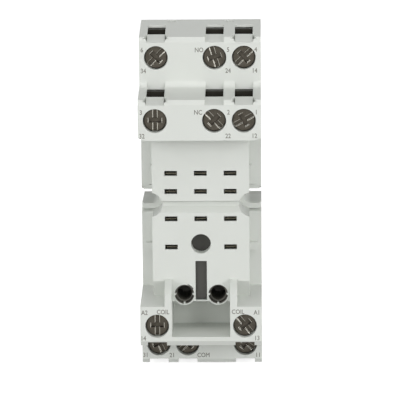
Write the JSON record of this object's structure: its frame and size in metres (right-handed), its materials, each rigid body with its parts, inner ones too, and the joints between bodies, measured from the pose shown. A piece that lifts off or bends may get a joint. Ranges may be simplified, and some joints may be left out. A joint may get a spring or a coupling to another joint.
{
  "type": "relay socket",
  "caption": "Plug-in relay socket with rows of screw terminals in stepped tiers, a relay bay, a module pocket and a rail latch.",
  "frame": {"origin": "centre of the rail seat in the back, midway between the two M3 slots", "axes": "+X across the poles, +Z along the socket towards the NO terminals, the terminals face -Y"},
  "size_m": [0.027, 0.03, 0.077],
  "materials": {
    "housing_plastic": "light grey moulded polyamide, fine satin",
    "cover_plastic": "light grey moulded polyamide, satin",
    "latch_plastic": "light grey acetal, smooth",
    "carrier_plastic": "black moulded polyamide, dull",
    "sleeve_steel": "dark passivated drawn steel",
    "saddle_steel": "dark passivated pressed steel",
    "spring_steel": "drawn spring wire",
    "contact_brass": "stamped brass",
    "clamp_steel": "zinc plated pressed steel",
    "screw_steel": "zinc plated cold-headed steel"
  },
  "bodies": {
    "socket": {"housing": "housing_plastic", "rear_cover": "cover_plastic", "contact_carrier": "carrier_plastic", "latch_spring": "spring_steel", "module_sleeve_a2": "sleeve_steel", "module_sleeve_a1": "sleeve_steel", "contact_34": "contact_brass", "contact_24": "contact_brass", "contact_14": "contact_brass", "contact_32": "contact_brass", "contact_22": "contact_brass", "contact_12": "contact_brass", "contact_a2": "contact_brass", "contact_a1": "contact_brass", "contact_31": "contact_brass", "contact_21": "contact_brass", "contact_11": "contact_brass", "wire_saddle_34": "saddle_steel", "wire_saddle_24": "saddle_steel", "wire_saddle_14": "saddle_steel", "wire_saddle_32": "saddle_steel", "wire_saddle_22": "saddle_steel", "wire_saddle_12": "saddle_steel", "wire_saddle_a2": "saddle_steel", "wire_saddle_a1": "saddle_steel", "wire_saddle_31": "saddle_steel", "wire_saddle_21": "saddle_steel", "wire_saddle_11": "saddle_steel"},
    "latch": {"rail_latch": "latch_plastic"},
    "clamp_34": {"clamp_plate_34": "clamp_steel"},
    "screw_34": {"screw_34": "screw_steel"},
    "clamp_24": {"clamp_plate_24": "clamp_steel"},
    "screw_24": {"screw_24": "screw_steel"},
    "clamp_14": {"clamp_plate_14": "clamp_steel"},
    "screw_14": {"screw_14": "screw_steel"},
    "clamp_32": {"clamp_plate_32": "clamp_steel"},
    "screw_32": {"screw_32": "screw_steel"},
    "clamp_22": {"clamp_plate_22": "clamp_steel"},
    "screw_22": {"screw_22": "screw_steel"},
    "clamp_12": {"clamp_plate_12": "clamp_steel"},
    "screw_12": {"screw_12": "screw_steel"},
    "clamp_a2": {"clamp_plate_a2": "clamp_steel"},
    "screw_a2": {"screw_a2": "screw_steel"},
    "clamp_a1": {"clamp_plate_a1": "clamp_steel"},
    "screw_a1": {"screw_a1": "screw_steel"},
    "clamp_31": {"clamp_plate_31": "clamp_steel"},
    "screw_31": {"screw_31": "screw_steel"},
    "clamp_21": {"clamp_plate_21": "clamp_steel"},
    "screw_21": {"screw_21": "screw_steel"},
    "clamp_11": {"clamp_plate_11": "clamp_steel"},
    "screw_11": {"screw_11": "screw_steel"}
  },
  "joints": [
    {"name": "latch_slide", "type": "slide", "parent": "socket", "child": "latch", "axis": [0, 0, 1], "range_m": [-0.003, 0], "stiffness_N_per_m": 800, "springref_m": 0.002, "deforming": ["latch_spring"]},
    {"name": "clamp_slide_34", "type": "slide", "parent": "socket", "child": "clamp_34", "axis": [0, 1, 0], "range_m": [0, 0.003]},
    {"name": "screw_turn_34", "type": "hinge", "parent": "clamp_34", "child": "screw_34", "pos_m": [-0.00975, -0.0153, 0.0323], "axis": [0, 1, 0], "range_deg": [0, 2160]},
    {"name": "clamp_slide_24", "type": "slide", "parent": "socket", "child": "clamp_24", "axis": [0, 1, 0], "range_m": [0, 0.003]},
    {"name": "screw_turn_24", "type": "hinge", "parent": "clamp_24", "child": "screw_24", "pos_m": [0.00325, -0.0153, 0.0323], "axis": [0, 1, 0], "range_deg": [0, 2160]},
    {"name": "clamp_slide_14", "type": "slide", "parent": "socket", "child": "clamp_14", "axis": [0, 1, 0], "range_m": [0, 0.003]},
    {"name": "screw_turn_14", "type": "hinge", "parent": "clamp_14", "child": "screw_14", "pos_m": [0.00975, -0.0153, 0.0323], "axis": [0, 1, 0], "range_deg": [0, 2160]},
    {"name": "clamp_slide_32", "type": "slide", "parent": "socket", "child": "clamp_32", "axis": [0, 1, 0], "range_m": [0, 0.003]},
    {"name": "screw_turn_32", "type": "hinge", "parent": "clamp_32", "child": "screw_32", "pos_m": [-0.00975, -0.0253, 0.0198], "axis": [0, 1, 0], "range_deg": [0, 2160]},
    {"name": "clamp_slide_22", "type": "slide", "parent": "socket", "child": "clamp_22", "axis": [0, 1, 0], "range_m": [0, 0.003]},
    {"name": "screw_turn_22", "type": "hinge", "parent": "clamp_22", "child": "screw_22", "pos_m": [0.00325, -0.0253, 0.0198], "axis": [0, 1, 0], "range_deg": [0, 2160]},
    {"name": "clamp_slide_12", "type": "slide", "parent": "socket", "child": "clamp_12", "axis": [0, 1, 0], "range_m": [0, 0.003]},
    {"name": "screw_turn_12", "type": "hinge", "parent": "clamp_12", "child": "screw_12", "pos_m": [0.00975, -0.0253, 0.0198], "axis": [0, 1, 0], "range_deg": [0, 2160]},
    {"name": "clamp_slide_a2", "type": "slide", "parent": "socket", "child": "clamp_a2", "axis": [0, 1, 0], "range_m": [0, 0.003]},
    {"name": "screw_turn_a2", "type": "hinge", "parent": "clamp_a2", "child": "screw_a2", "pos_m": [-0.00975, -0.0253, -0.0264], "axis": [0, 1, 0], "range_deg": [0, 2160]},
    {"name": "clamp_slide_a1", "type": "slide", "parent": "socket", "child": "clamp_a1", "axis": [0, 1, 0], "range_m": [0, 0.003]},
    {"name": "screw_turn_a1", "type": "hinge", "parent": "clamp_a1", "child": "screw_a1", "pos_m": [0.00975, -0.0253, -0.0264], "axis": [0, 1, 0], "range_deg": [0, 2160]},
    {"name": "clamp_slide_31", "type": "slide", "parent": "socket", "child": "clamp_31", "axis": [0, 1, 0], "range_m": [0, 0.003]},
    {"name": "screw_turn_31", "type": "hinge", "parent": "clamp_31", "child": "screw_31", "pos_m": [-0.00975, -0.0163, -0.03275], "axis": [0, 1, 0], "range_deg": [0, 2160]},
    {"name": "clamp_slide_21", "type": "slide", "parent": "socket", "child": "clamp_21", "axis": [0, 1, 0], "range_m": [0, 0.003]},
    {"name": "screw_turn_21", "type": "hinge", "parent": "clamp_21", "child": "screw_21", "pos_m": [-0.00325, -0.0163, -0.03275], "axis": [0, 1, 0], "range_deg": [0, 2160]},
    {"name": "clamp_slide_11", "type": "slide", "parent": "socket", "child": "clamp_11", "axis": [0, 1, 0], "range_m": [0, 0.003]},
    {"name": "screw_turn_11", "type": "hinge", "parent": "clamp_11", "child": "screw_11", "pos_m": [0.00975, -0.0163, -0.03275], "axis": [0, 1, 0], "range_deg": [0, 2160]}
  ],
  "couplings": [
    {"joint": "screw_turn_34", "follows": "clamp_slide_34", "rad_per_m": 12566},
    {"joint": "screw_turn_24", "follows": "clamp_slide_24", "rad_per_m": 12566},
    {"joint": "screw_turn_14", "follows": "clamp_slide_14", "rad_per_m": 12566},
    {"joint": "screw_turn_32", "follows": "clamp_slide_32", "rad_per_m": 12566},
    {"joint": "screw_turn_22", "follows": "clamp_slide_22", "rad_per_m": 12566},
    {"joint": "screw_turn_12", "follows": "clamp_slide_12", "rad_per_m": 12566},
    {"joint": "screw_turn_a2", "follows": "clamp_slide_a2", "rad_per_m": 12566},
    {"joint": "screw_turn_a1", "follows": "clamp_slide_a1", "rad_per_m": 12566},
    {"joint": "screw_turn_31", "follows": "clamp_slide_31", "rad_per_m": 12566},
    {"joint": "screw_turn_21", "follows": "clamp_slide_21", "rad_per_m": 12566},
    {"joint": "screw_turn_11", "follows": "clamp_slide_11", "rad_per_m": 12566}
  ]
}
